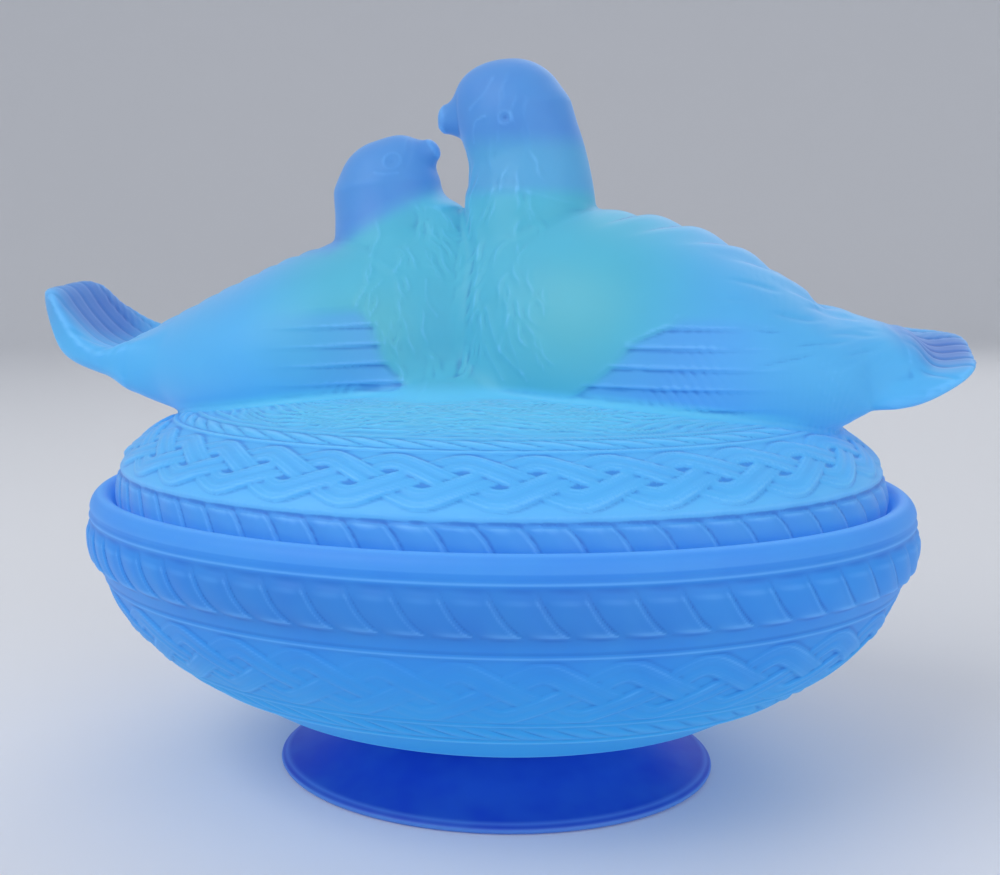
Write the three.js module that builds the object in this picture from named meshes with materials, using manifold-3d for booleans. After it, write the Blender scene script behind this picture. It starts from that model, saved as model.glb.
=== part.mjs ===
// A covered glass dish: an oval footed bowl, and a domed lid on which two doves sit breast to breast.
// Millimetres, +Z up. The origin lies on the resting plane, under the middle of the overall length.
import * as THREE from 'three';
import { mergeVertices } from 'three/addons/utils/BufferGeometryUtils.js';
import Module from 'manifold-3d';

const wasm = await Module();
wasm.setup();

// Driving dimensions. A reach is half an oval's length, along X from the bowl's axis.
const OVAL = 0.78; // width of every oval over its length
const BOWL_REACH = 72.4; // widest oval of the bowl
const RIM_HEIGHT = 51.2; // top of the rounded lip
const SEAT_HEIGHT = 46.4; // ledge inside the lip that carries the lid
const SEAT_REACH = 64.4; // inner edge of that ledge
const LIP_INNER_REACH = 67.2; // wall that the lid drops inside
const SEAT_GAP = 0.4; // the lid's gap above the ledge
const FLOOR_HEIGHT = 16; // inside of the bowl, at its middle
const FOOT_REACH = 39.3;
const FOOT_HOLLOW = 1.6; // how far the foot's underside is raised inside its resting ring
const FOOT_RING = 5; // width of that resting ring
const STEM_REACH = 21.5;
const LID_REACH = 66.3;
const LID_BASE = SEAT_HEIGHT + SEAT_GAP;
const LID_WALL = 3.8;
const COVER_HEIGHT = 68.6; // top of the cover, hidden under the doves
const LEFT_TAIL_REACH = 85.3;
const RIGHT_TAIL_REACH = 79.7;
const TAIL_SIDE = 9; // how far to each side the heights of a tail are given
const TAIL_MIDDLE = 1; // the tails' middle along Y
const TAIL_CAP_SHARE = 0.12; // share of a tail's length that rounds off each end

const SEGMENTS_ROUND = 48;
const CURVE_STEPS = 2; // straight steps between two points of a curved outline

const glass = (colour) => new THREE.MeshStandardMaterial({ color: colour, roughness: 0.5, metalness: 0 });

// A solid from a closed geometry, once its repeated vertices are merged.
function solidFrom(geometry) {
  const bare = geometry.clone();
  bare.deleteAttribute('normal');
  bare.deleteAttribute('uv');
  const merged = mergeVertices(bare, 1e-4);
  const vertProperties = new Float32Array(merged.attributes.position.array);
  const triVerts = new Uint32Array(merged.index.array);
  return new wasm.Manifold(new wasm.Mesh({ numProp: 3, vertProperties, triVerts }));
}

function geometryFrom(solid) {
  const { vertProperties, triVerts } = solid.getMesh();
  const geometry = new THREE.BufferGeometry();
  geometry.setAttribute('position', new THREE.BufferAttribute(vertProperties, 3));
  geometry.setIndex(new THREE.BufferAttribute(triVerts, 1));
  geometry.computeVertexNormals();
  return geometry;
}

// An oval solid of revolution from stretches of outline. Each stretch is a list of [reach, height]
// points. A list of two is a straight line, and a longer list is one smooth curve through its points.
function ovalSolid(stretches) {
  const outline = [];
  for (const stretch of stretches) {
    const points = stretch.map(([reach, height]) => new THREE.Vector2(reach, height));
    const curve = new THREE.SplineCurve(points);
    const steps = points.length > 2 ? CURVE_STEPS * (points.length - 1) : 1;
    const isFirst = outline.length === 0;
    outline.push(...curve.getPoints(steps).slice(isFirst ? 0 : 1));
  }
  const lathe = new THREE.LatheGeometry(outline, SEGMENTS_ROUND);
  lathe.rotateX(Math.PI / 2);
  lathe.scale(1, OVAL, 1);
  return solidFrom(lathe);
}

// How wide a rounded end is, from 0 to 1, at a share of a body's length.
function closingAt(share, capShare) {
  const toEnd = Math.min(1, Math.min(share, 1 - share) / capShare);
  return Math.sqrt(Math.max(0, 1 - (1 - toEnd) ** 2));
}

// A smooth rounded body along a spine. Each station is a section across the spine: its centre
// [x, y, z], half its height, half its width, and its roll about the spine in degrees, where a
// positive roll drops the side that faces -Y. The two ends close in rounded caps.
function loftSolid(stations, { around = 16, along = 10, capShare = 0.14 } = {}) {
  const spine = new THREE.CatmullRomCurve3(stations.map(({ at }) => new THREE.Vector3(...at)));
  const sizes = new THREE.CatmullRomCurve3(
    stations.map(({ high, wide, roll = 0 }) => new THREE.Vector3(high, wide, roll)),
  );
  const sphere = new THREE.SphereGeometry(1, around, along);
  const places = sphere.attributes.position;
  const corner = new THREE.Vector3();
  for (let index = 0; index < places.count; index += 1) {
    corner.fromBufferAttribute(places, index);
    const share = THREE.MathUtils.clamp((1 - corner.y) / 2, 0, 1);
    const closing = closingAt(share, capShare);
    const ringRadius = Math.hypot(corner.x, corner.z);
    const across = ringRadius > 1e-6 ? corner.z / ringRadius : 0;
    const upward = ringRadius > 1e-6 ? corner.x / ringRadius : 0;
    const centre = spine.getPoint(share);
    const ahead = spine.getTangent(share);
    const size = sizes.getPoint(share);
    const side = new THREE.Vector3(0, 1, 0).applyAxisAngle(ahead, THREE.MathUtils.degToRad(size.z));
    side.addScaledVector(ahead, -side.dot(ahead)).normalize();
    const up = new THREE.Vector3().crossVectors(ahead, side).normalize();
    centre.addScaledVector(side, across * closing * size.y);
    centre.addScaledVector(up, upward * closing * size.x);
    places.setXYZ(index, centre.x, centre.y, centre.z);
  }
  const solid = solidFrom(sphere);
  return solid.volume() > 0 ? solid : solidFrom(flipped(sphere));
}

// The same geometry with every triangle turned round.
function flipped(geometry) {
  const turned = geometry.clone();
  const corners = turned.index.array;
  for (let index = 0; index < corners.length; index += 3) {
    [corners[index], corners[index + 1]] = [corners[index + 1], corners[index]];
  }
  return turned;
}

function makeDish() {
  const ringInner = FOOT_REACH - FOOT_RING;
  return ovalSolid([
    [[0, FOOT_HOLLOW], [ringInner - 2, FOOT_HOLLOW]],
    [[ringInner - 2, FOOT_HOLLOW], [ringInner, 0]],
    [[ringInner, 0], [FOOT_REACH - 0.6, 0]],
    [[FOOT_REACH - 0.6, 0], [FOOT_REACH, 0.9], [FOOT_REACH - 0.7, 2]],
    [[FOOT_REACH - 0.7, 2], [34, 3.2], [27, 5.4], [STEM_REACH + 1.2, 8], [STEM_REACH, 10.5]],
    [[STEM_REACH, 10.5], [30, 11.1], [38, 12.3], [44.2, 14.4]],
    [[44.2, 14.4], [49.1, 17.2], [55.2, 20.7], [61.9, 25.7], [66.5, 31], [69.2, 36.4]],
    [[69.2, 36.4], [70.9, 39.6]],
    [[70.9, 39.6], [BOWL_REACH - 0.2, 41.6], [BOWL_REACH, 43.6], [BOWL_REACH - 0.9, 46.9]],
    [[BOWL_REACH - 0.9, 46.9], [BOWL_REACH - 0.8, 48.6], [70.9, 50.2], [69.4, RIM_HEIGHT], [67.9, 50.2],
      [LIP_INNER_REACH, 48.4]],
    [[LIP_INNER_REACH, 48.4], [LIP_INNER_REACH, SEAT_HEIGHT]],
    [[LIP_INNER_REACH, SEAT_HEIGHT], [SEAT_REACH, SEAT_HEIGHT]],
    [[SEAT_REACH, SEAT_HEIGHT], [SEAT_REACH, 42], [62.6, 35.5], [57.6, 28.6], [48, 21.6], [34, 17.6],
      [17, 16.3], [0, FLOOR_HEIGHT]],
  ]);
}

// The cover's outer skin, closed by a flat base, and the hollow that is taken out of it.
function makeCoverSkin() {
  return ovalSolid([
    [[0, LID_BASE], [LID_REACH - 0.8, LID_BASE]],
    [[LID_REACH - 0.8, LID_BASE], [LID_REACH, 49.5], [LID_REACH, 52.4], [LID_REACH - 0.6, 54.2]],
    [[LID_REACH - 0.6, 54.2], [LID_REACH - 0.3, 55.2], [65.2, 56.2], [63.5, 58.6], [61.2, 61], [58.2, 62.7]],
    [[58.2, 62.7], [55, 63.7], [51.6, 64.4]],
    [[51.6, 64.4], [40, 66.8], [22, 68.3], [0, COVER_HEIGHT]],
  ]);
}

function makeCoverHollow() {
  const below = LID_BASE - 3;
  return ovalSolid([
    [[0, below], [LID_REACH - LID_WALL, below]],
    [[LID_REACH - LID_WALL, below], [LID_REACH - LID_WALL, 50]],
    [[LID_REACH - LID_WALL, 50], [61.4, 54.2], [57.8, 58], [50, 60.6], [30, 63.4], [0, COVER_HEIGHT - LID_WALL]],
  ]);
}

// An egg-shaped solid about a centre, with its half sizes along X, Y and Z.
function eggSolid([x, y, z], [halfLong, halfWide, halfHigh]) {
  const egg = new THREE.SphereGeometry(1, 20, 12);
  egg.scale(halfLong, halfWide, halfHigh);
  egg.translate(x, y, z);
  return solidFrom(egg);
}

// A tail between its top face and its underside, rounded off at the end. Each station is a section
// across it: its reach along X, the heights of its top and underside along the far (+Y) and the near
// (-Y) side, and half its width.
function tailSolid(direction, stations) {
  const slab = new THREE.SphereGeometry(1, 20, 12);
  const topAt = new THREE.CatmullRomCurve3(stations.map(({ reach, top }) => new THREE.Vector3(reach, ...top)));
  const lowAt = new THREE.CatmullRomCurve3(
    stations.map(({ under, wide }) => new THREE.Vector3(wide, ...under)),
  );
  const places = slab.attributes.position;
  const corner = new THREE.Vector3();
  for (let index = 0; index < places.count; index += 1) {
    corner.fromBufferAttribute(places, index);
    const share = THREE.MathUtils.clamp((1 - corner.y) / 2, 0, 1);
    const closing = closingAt(share, TAIL_CAP_SHARE);
    const ringRadius = Math.max(Math.hypot(corner.x, corner.z), 1e-6);
    const across = corner.z / ringRadius;
    const upward = corner.x / ringRadius;
    const top = topAt.getPoint(share);
    const low = lowAt.getPoint(share);
    const y = across * closing * low.x;
    const farShare = 0.5 + y / (2 * TAIL_SIDE);
    const topHeight = top.z * (1 - farShare) + top.y * farShare;
    const lowHeight = low.z * (1 - farShare) + low.y * farShare;
    const middle = (topHeight + lowHeight) / 2;
    const half = (topHeight - lowHeight) / 2;
    places.setXYZ(index, direction * top.x, TAIL_MIDDLE + y, middle + upward * closing * half);
  }
  const solid = solidFrom(slab);
  return solid.volume() > 0 ? solid : solidFrom(flipped(slab));
}

// The right dove: taller, its head up and its tail spread level behind it.
function makeRightDove() {
  const body = loftSolid([
    { at: [-6, 0, 77], high: 18.5, wide: 13 },
    { at: [4, 0, 76.5], high: 21, wide: 20 },
    { at: [16, 0, 75.5], high: 22.6, wide: 23.5 },
    { at: [30, 0, 74], high: 21.6, wide: 24.3, roll: 1 },
    { at: [44, 0, 72.4], high: 17.2, wide: 21.5, roll: 3 },
    { at: [54, 0, 71.9], high: 11.6, wide: 17, roll: 8 },
    { at: [65, 0.5, 72.4], high: 6.4, wide: 11.5, roll: 12 },
  ], { around: 20, along: 18, capShare: 0.08 });
  const tail = tailSolid(1, [
    { reach: 52, top: [76.5, 70], under: [68, 64.5], wide: 12.8 },
    { reach: 62, top: [77.4, 69], under: [70.3, 66.2], wide: 12.8 },
    { reach: 71, top: [77.4, 70.6], under: [73, 68], wide: 12.8 },
    { reach: RIGHT_TAIL_REACH, top: [77.4, 74], under: [74.4, 72], wide: 12.2 },
  ]);
  const neck = loftSolid([
    { at: [6.4, 0, 84], high: 12.4, wide: 14 },
    { at: [6.6, 0, 98], high: 11.2, wide: 11.2 },
    { at: [6, 0, 106], high: 9.7, wide: 9 },
    { at: [4.8, 0, 114], high: 9, wide: 8.4 },
  ]);
  const beak = loftSolid([
    { at: [0, 0, 113.6], high: 4, wide: 3.4 },
    { at: [-5.4, 0, 113.9], high: 3, wide: 2.7 },
    { at: [-9.6, 0, 113.8], high: 1.7, wide: 1.6 },
  ], { around: 12, along: 8, capShare: 0.2 });
  return body.add(tail).add(neck).add(beak).add(eggSolid([4.3, 0, 113.2], [9.8, 8.7, 10.2]));
}

// The left dove: lower, its beak tilted up towards its mate and its tail curled up at the end.
function makeLeftDove() {
  const body = loftSolid([
    { at: [-3, 0, 77], high: 18.5, wide: 13 },
    { at: [-13, 0, 76.5], high: 20, wide: 19.5 },
    { at: [-25, 0, 75], high: 18.6, wide: 23.3 },
    { at: [-37, 0, 73], high: 16.4, wide: 22.8, roll: -1 },
    { at: [-48, 0, 72], high: 12.8, wide: 19, roll: -3 },
    { at: [-57, 0, 71.2], high: 8.2, wide: 14, roll: -5 },
    { at: [-65, 0, 71.2], high: 5, wide: 10.5, roll: -8 },
  ], { around: 20, along: 18, capShare: 0.08 });
  const tail = tailSolid(-1, [
    { reach: 50, top: [76.5, 77], under: [63.5, 62.8], wide: 12 },
    { reach: 62, top: [77, 75], under: [66.5, 66], wide: 12.4 },
    { reach: 71, top: [80.5, 74.8], under: [70.8, 69.5], wide: 12.4 },
    { reach: 78, top: [86, 82], under: [77.5, 76.5], wide: 12 },
    { reach: LEFT_TAIL_REACH, top: [87.4, 86.6], under: [83, 83], wide: 11 },
  ]);
  const neck = loftSolid([
    { at: [-15, 0, 84], high: 11.2, wide: 14 },
    { at: [-17, 0, 94], high: 10.6, wide: 11.2 },
    { at: [-18.3, 0, 102], high: 8.9, wide: 8.6 },
  ]);
  const beak = loftSolid([
    { at: [-16, 0, 105.6], high: 3.4, wide: 3.2 },
    { at: [-12.2, 0, 107.8], high: 2.8, wide: 2.6 },
    { at: [-9.2, 0, 109.2], high: 1.7, wide: 1.6 },
  ], { around: 12, along: 8, capShare: 0.2 });
  return body.add(tail).add(neck).add(beak).add(eggSolid([-18.6, 0, 102.1], [9, 8.3, 9.4]));
}

// The hollow under each dove is the mark of the pressing plunger.
function makeDoveHollow(direction) {
  return loftSolid([
    { at: [direction * 4, 0, 62], high: 6, wide: 8 },
    { at: [direction * 18, 0, 67.5], high: 9.5, wide: 11.5 },
    { at: [direction * 34, 0, 66.5], high: 8.5, wide: 12 },
    { at: [direction * 47, 0, 62], high: 5, wide: 10 },
  ], { around: 16, along: 12, capShare: 0.3 });
}

function makeLid() {
  return makeCoverSkin()
    .add(makeRightDove())
    .add(makeLeftDove())
    .subtract(makeCoverHollow())
    .subtract(makeDoveHollow(1))
    .subtract(makeDoveHollow(-1));
}

const dish = new THREE.Mesh(geometryFrom(makeDish()), glass(0x4187e1));
dish.name = 'dish';

const lid = new THREE.Mesh(geometryFrom(makeLid()), glass(0x5fb9e6));
lid.name = 'lid';

const coveredDish = new THREE.Group();
coveredDish.add(dish, lid);
coveredDish.position.x = (LEFT_TAIL_REACH - RIGHT_TAIL_REACH) / 2;

export default coveredDish;
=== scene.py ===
import math

import bpy
import numpy as np
import openvdb
from mathutils import Matrix, Vector


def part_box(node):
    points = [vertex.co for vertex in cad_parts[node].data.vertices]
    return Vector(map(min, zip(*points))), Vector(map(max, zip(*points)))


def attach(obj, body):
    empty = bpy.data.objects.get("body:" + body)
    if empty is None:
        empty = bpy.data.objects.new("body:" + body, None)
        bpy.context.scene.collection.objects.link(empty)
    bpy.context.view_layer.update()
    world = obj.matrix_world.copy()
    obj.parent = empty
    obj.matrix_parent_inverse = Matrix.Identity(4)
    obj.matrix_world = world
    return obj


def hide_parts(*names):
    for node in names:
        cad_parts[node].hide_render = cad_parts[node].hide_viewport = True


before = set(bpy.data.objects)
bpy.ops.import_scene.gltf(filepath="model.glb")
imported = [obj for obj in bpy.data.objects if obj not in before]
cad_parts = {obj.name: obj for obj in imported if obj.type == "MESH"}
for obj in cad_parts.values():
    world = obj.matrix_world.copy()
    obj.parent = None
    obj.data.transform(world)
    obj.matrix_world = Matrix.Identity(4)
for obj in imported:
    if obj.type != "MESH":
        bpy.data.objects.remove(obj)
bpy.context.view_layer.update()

# ----------------------------------------
# Sizes from the frame. Shapes are worked out in millimetres of the design, round the bowl's axis,
# and MM and AXIS_X turn them into the frame's metres.
# ----------------------------------------
dish_low, dish_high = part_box("dish")
lid_low, lid_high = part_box("lid")
DESIGN_REACH = 72.4  # half the length of the bowl's widest oval, with its relief, in design millimetres
MM = (dish_high.x - dish_low.x) / 2 / DESIGN_REACH
AXIS_X = (dish_low.x + dish_high.x) / 2
OVAL = (dish_high.y - dish_low.y) / (dish_high.x - dish_low.x)
RIM_HEIGHT = dish_high.z / MM
LID_BASE = lid_low.z / MM

COLUMNS = 1280  # quads round the dish
VOXEL = 0.4  # size of the lid's sculpting grid
BAND = 2.0  # how far from the surface the sculpture is worked out finely
COARSE = 4  # fine voxels in a coarse one
MARGIN = 4.0  # how far the sculpting grid reaches past the lid
SHARP = 0.14  # how far a point stands proud on a line that counts as fully sharp
SEAT_GAP = 0.4  # the solids' gap between the lid and the seat that it lies on
GLOW = 0.30  # how strongly the glass shines by itself


# ----------------------------------------
# Outlines and the oval's own coordinates
# ----------------------------------------
def smooth_curve(points, steps):
    """A Catmull-Rom curve through the points, with so many steps between two of them."""
    points = np.asarray(points, float)
    padded = np.vstack([2 * points[0] - points[1], points, 2 * points[-1] - points[-2]])
    if len(points) == 2:
        share = np.linspace(0, 1, steps + 1)[:, None]
        return points[0] * (1 - share) + points[1] * share
    pieces = []
    share = np.arange(steps)[:, None] / steps
    for i in range(len(points) - 1):
        before, start, end, after = padded[i : i + 4]
        pieces.append(
            start
            + 0.5 * share * (end - before)
            + share**2 * (before - 2.5 * start + 2 * end - 0.5 * after)
            + share**3 * 0.5 * (after - before + 3 * (start - end))
        )
    pieces.append(points[-1:])
    return np.vstack(pieces)


def lengths_along(line):
    steps = np.linalg.norm(np.diff(line, axis=0), axis=1)
    return np.concatenate([[0], np.cumsum(steps)])


def evenly(line, spacing):
    """The same line with points about so far apart, and each one's distance from the start."""
    walked = lengths_along(line)
    count = max(1, int(math.ceil(walked[-1] / spacing)))
    wanted = np.linspace(0, walked[-1], count + 1)
    return np.stack([np.interp(wanted, walked, line[:, k]) for k in (0, 1)], 1), wanted


# Equal steps of turn_share are equal lengths round the oval, so that a repeat keeps its width.
oval_angles = np.linspace(0, 2 * np.pi, 4097)
oval_ring = np.stack([np.cos(oval_angles), OVAL * np.sin(oval_angles)], 1)
oval_share = lengths_along(oval_ring) / lengths_along(oval_ring)[-1]
oval_girth = lengths_along(oval_ring)[-1]  # girth of an oval whose reach is 1


def angle_of_share(share):
    return np.interp(share % 1, oval_share, oval_angles)


def share_of_place(x, y):
    return np.interp(np.arctan2(y / OVAL, x) % (2 * np.pi), oval_angles, oval_share)


# ----------------------------------------
# Pressed relief. Each function takes the share of a turn, the distance up the band and the band's
# height, and gives how far the glass stands proud, in millimetres.
# ----------------------------------------
def ramp(value, start, end):
    """0 at start, 1 at end, smooth in between."""
    t = np.clip((value - start) / (end - start), 0, 1)
    return t * t * (3 - 2 * t)


def ridge(value, centre, half_width):
    return np.exp(-(((value - centre) / half_width) ** 2))


PLAIT_GIRTH = oval_girth * 64  # length that the plaits' ribbons run, for their slant
SINE_LIMIT = 0.96  # how sharply a plait's ribbons turn: at 1 they turn in a point


def gadroon_relief(share, up, high, repeats, proud, hook_at_top):
    """Slanted lobes, each a pillow with a thin raised line along its right edge. The edge is an
    arc that ends along the bottom of the band, or starts along its top."""
    down = np.clip(1 - up / high, 0, 1)
    if hook_at_top:
        bend = 0.62 * np.sqrt(1 - (1 - down) ** 2) + 0.3 * down
        ends = ramp(up, 0.0, 2.0) * ramp(high - up, 0.0, 1.0)
    else:
        bend = 0.2 * np.sqrt(1 - (1 - down) ** 2) + 0.15 * down + 0.85 * (1 - np.sqrt(1 - down**2))
        ends = ramp(up, 0.0, 0.9) * ramp(high - up, 0.3, 2.2)
    across = (share * repeats - bend) % 1
    face = 0.25 + 0.7 * np.sin(np.pi * across**1.3) ** 0.75 + 0.22 * ridge(across, 0.92, 0.06)
    return proud * face * ends


def plait_relief(share, up, high, loops, ribbon, proud):
    """A flat plait of three ribbons, over and under, each with a raised line along both edges."""
    middle = up - high / 2
    reach = high / 2 - ribbon / 2
    turns = loops / 3
    period = PLAIT_GIRTH / turns
    edge_angle = math.asin(SINE_LIMIT)
    best = np.zeros(np.broadcast(share, up).shape)
    for strand in range(3):
        angle = -2 * np.pi * (share * turns + strand / 3)
        # The arcsine of a slightly flattened sine gives straight slants with rounded turns.
        lean = SINE_LIMIT * np.sin(angle)
        centre = reach * np.arcsin(lean) / edge_angle
        steepness = SINE_LIMIT * np.cos(angle) / np.sqrt(1 - lean**2)
        slope = reach / edge_angle * steepness * 2 * np.pi / period
        off = np.abs(middle - centre) / np.sqrt(1 + slope**2)
        over = np.sin(2 * angle)
        body = ramp(ribbon / 2 - off, 0.0, 1.0)
        edges = ridge(off, ribbon / 2 - 0.6, 0.33) + 0.55 * ridge(off, ribbon / 2 - 1.45, 0.3)
        best = np.maximum(best, body * (0.36 + 0.24 * over + 0.34 * edges))
    return proud * best * ramp(up, 0.0, 0.8) * ramp(high - up, 0.0, 0.8)


def rope_relief(share, up, high, repeats, proud):
    """A thin twisted rope of leaning lenses between two fine raised lines."""
    lower, upper = 0.24 * high, 0.78 * high
    across = (share * repeats + 1.3 * (up - lower) / (upper - lower)) % 1
    lens = np.sin(np.pi * across) ** 0.8
    inside = np.clip((up - lower) / (upper - lower), 0, 1)
    strand = lens * np.sin(np.pi * inside) ** 0.7
    lines = ridge(up, 0.1 * high, 0.3) + ridge(up, 0.92 * high, 0.3)
    return proud * np.maximum(strand, 0.8 * lines)


def straw_relief(share, up, proud):
    """Long thin straws that run along the oval and cross each other at a slant."""
    turn = 2 * np.pi * share
    one = 0.75 * up + 1.4 * np.sin(5 * turn) + 0.5 * np.sin(14 * turn + 0.7 * up)
    other = 0.6 * up - 1.6 * np.sin(4 * turn + 1) + 0.4 * np.sin(17 * turn - 0.5 * up)
    patch = ramp(np.sin(9 * turn + 0.8 * up) + np.sin(4 * turn - 0.6 * up), -0.8, 0.8)
    straws = (1 - np.abs(np.sin(np.pi * one))) ** 2 * patch
    return proud * (straws + (1 - np.abs(np.sin(np.pi * other))) ** 2 * (1 - patch))


# ----------------------------------------
# The dish: a grid of quads wrapped round its whole outline, inside and out
# ----------------------------------------
FOOT_ROUNDER = 0.027  # how much wider the foot's oval is than the bowl's, for its length


def dish_stretches():
    """Each stretch of the dish's outline: spacing of its rows, its relief, and its points."""
    foot, ring, stem = 39.3, 34.3, 21.5
    seat = LID_BASE - SEAT_GAP
    wall, seat_edge = 67.2, 64.4
    rim = RIM_HEIGHT
    return [
        (3.0, None, [(0, 1.6), (ring - 2.4, 1.6)]),
        (0.6, None, [(ring - 2.4, 1.6), (ring - 1.2, 0.9), (ring + 0.1, 0)]),
        (1.5, None, [(ring + 0.1, 0), (foot - 0.8, 0)]),
        (0.3, None, [(foot - 0.8, 0), (foot - 0.1, 0.35), (foot, 0.9), (foot - 0.9, 1.6)]),
        (1.0, None, [(foot - 0.9, 1.6), (34, 2.9), (27, 5.2), (stem + 1.2, 8), (stem, 10.5)]),
        (1.2, None, [(stem, 10.5), (30, 11.1), (38, 12.3), (44.2, 14.4)]),
        (0.9, None, [(44.2, 14.4), (49.1, 17.2), (53.6, 19.7)]),
        (0.4, "rope", [(53.6, 19.7), (55.2, 20.7), (61.2, 25.1)]),
        (0.36, "plait", [(61.2, 25.1), (61.9, 25.7), (66.5, 31), (69.2, 36.4)]),
        (0.5, "groove", [(69.2, 36.4), (70.9, 39.6)]),
        (0.36, "gadroon", [(70.9, 39.6), (71.5, 41.6), (71.7, 43.6), (71.5, 46.9)]),
        (0.5, "lip", [(71.5, 46.9), (71.6, 48.6), (70.9, 50.2), (69.4, rim), (67.9, 50.2), (wall, 48.4)]),
        (1.0, None, [(wall, 48.4), (wall, seat)]),
        (0.8, None, [(wall, seat), (seat_edge, seat)]),
        (1.8, None, [(seat_edge, seat), (seat_edge, 42), (62.6, 35.5), (57.6, 28.6), (48, 21.6),
                     (34, 17.6), (17, 16.3), (0, 16)]),
    ]


def worn(share, least):
    """Relief is shallower in the middle of the oval's long sides than at its ends."""
    return least + (1 - least) * np.abs(np.cos(2 * np.pi * share))


def dish_relief(kind, share, up, high):
    flat = np.zeros(np.broadcast(share, up).shape)
    if kind == "rope":
        return rope_relief(share, up, high, 72, 0.45)
    if kind == "plait":
        return plait_relief(share, up, high, 33, 4.4, 0.7) * worn(share, 0.4)
    if kind == "gadroon":
        return gadroon_relief(share, up, high, 62, 0.7, False) * worn(share, 0.7)
    if kind == "groove":
        return flat + 0.2 * ridge(up, 0.4, 0.3) - 0.12 * ridge(up, 1.1, 0.4)
    if kind == "lip":
        return flat + 0.2 * ridge(up, 0.5, 0.3) - 0.14 * ridge(up, 1.2, 0.4)
    return flat


def dish_grid():
    """Rows of points and their relief, from the middle of the underside to the middle inside."""
    rows, relief = [], []
    share = np.arange(COLUMNS) / COLUMNS
    for spacing, kind, points in dish_stretches():
        line, walked = evenly(smooth_curve(points, 24), spacing)
        heights = dish_relief(kind, share[None, :], walked[:, None], walked[-1])
        start = 0
        if rows:
            # Two stretches share a row, which keeps the stronger relief.
            start = 1
            relief[-1] = np.where(np.abs(heights[0]) > np.abs(relief[-1]), heights[0], relief[-1])
        rows.extend(line[start:])
        relief.extend(heights[start:])
    return np.array(rows), np.array(relief)


def make_dish():
    outline, relief = dish_grid()
    angles = angle_of_share(np.arange(COLUMNS) / COLUMNS)
    body, raised = outline[1:-1], relief[1:-1]
    x = body[:, :1] * np.cos(angles)
    z = np.repeat(body[:, 1:], COLUMNS, 1)
    y = body[:, :1] * np.sin(angles) * OVAL * (1 + FOOT_ROUNDER * ramp(z, 9, 4))
    places = np.stack([x, y, z], 2)
    along = np.gradient(places, axis=0)
    around = np.roll(places, -1, 1) - np.roll(places, 1, 1)
    normals = np.cross(around, along)
    normals /= np.maximum(np.linalg.norm(normals, axis=2, keepdims=True), 1e-9)
    places += normals * raised[:, :, None]
    row_count = len(body)
    bottom, top = row_count * COLUMNS, row_count * COLUMNS + 1
    corners = np.vstack([places.reshape(-1, 3), [[0, 0, outline[0, 1]], [0, 0, outline[-1, 1]]]])
    column = np.arange(COLUMNS)
    after = (column + 1) % COLUMNS
    faces = []
    for row in range(row_count - 1):
        low, high = row * COLUMNS, (row + 1) * COLUMNS
        faces.append(np.stack([low + column, low + after, high + after, high + column], 1))
    quads = np.vstack(faces)
    last = (row_count - 1) * COLUMNS
    bottom_fan = np.stack([np.full(COLUMNS, bottom), after, column], 1)
    top_fan = np.stack([np.full(COLUMNS, top), last + column, last + after], 1)
    crest = crest_of(corners, quads)
    return mesh_object("dish_glass", corners, [quads, bottom_fan, top_fan], {"crest": crest})


def smooth_object(name, points, faces):
    """A smooth-shaded object in the scene, in metres."""
    mesh = bpy.data.meshes.new(name)
    mesh.from_pydata(points, [], faces)
    mesh.polygons.foreach_set("use_smooth", [True] * len(mesh.polygons))
    mesh.update()
    piece = bpy.data.objects.new(name, mesh)
    bpy.context.scene.collection.objects.link(piece)
    return piece


def mesh_object(name, corners, face_groups, paint):
    """An object from design millimetres and lists of faces. Paint gives each point some numbers
    by name, which its material reads."""
    corners = corners * MM
    corners[:, 0] += AXIS_X
    faces = [face for group in face_groups for face in group.tolist()]
    piece = smooth_object(name, corners.tolist(), faces)
    for word, values in paint.items():
        piece.data.attributes.new(word, "FLOAT", "POINT").data.foreach_set("value", values)
    return piece


# ----------------------------------------
# Sculpting fields. Each takes points and gives their distance from a surface, negative inside.
# ----------------------------------------
FAR = 40.0  # the value of a field where its body isn't near
NEARBY = 8.0  # how far from a body its field is worked out


def smooth_union(a, b, blend):
    share = np.clip(0.5 + 0.5 * (b - a) / blend, 0, 1)
    return b * (1 - share) + a * share - blend * share * (1 - share)


def soft_most(a, b, blend):
    """The body that both fields share."""
    return -smooth_union(-a, -b, blend)


def egg_field(points, centre, half_sizes):
    """An egg with half sizes along X, Y and Z."""
    sizes = np.asarray(half_sizes, float)
    scaled = (points - np.asarray(centre, float)) / sizes
    near = np.linalg.norm(scaled, axis=1)
    steep = np.linalg.norm(scaled / sizes, axis=1)
    return near * (near - 1) / np.maximum(steep, 1e-9)


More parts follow.
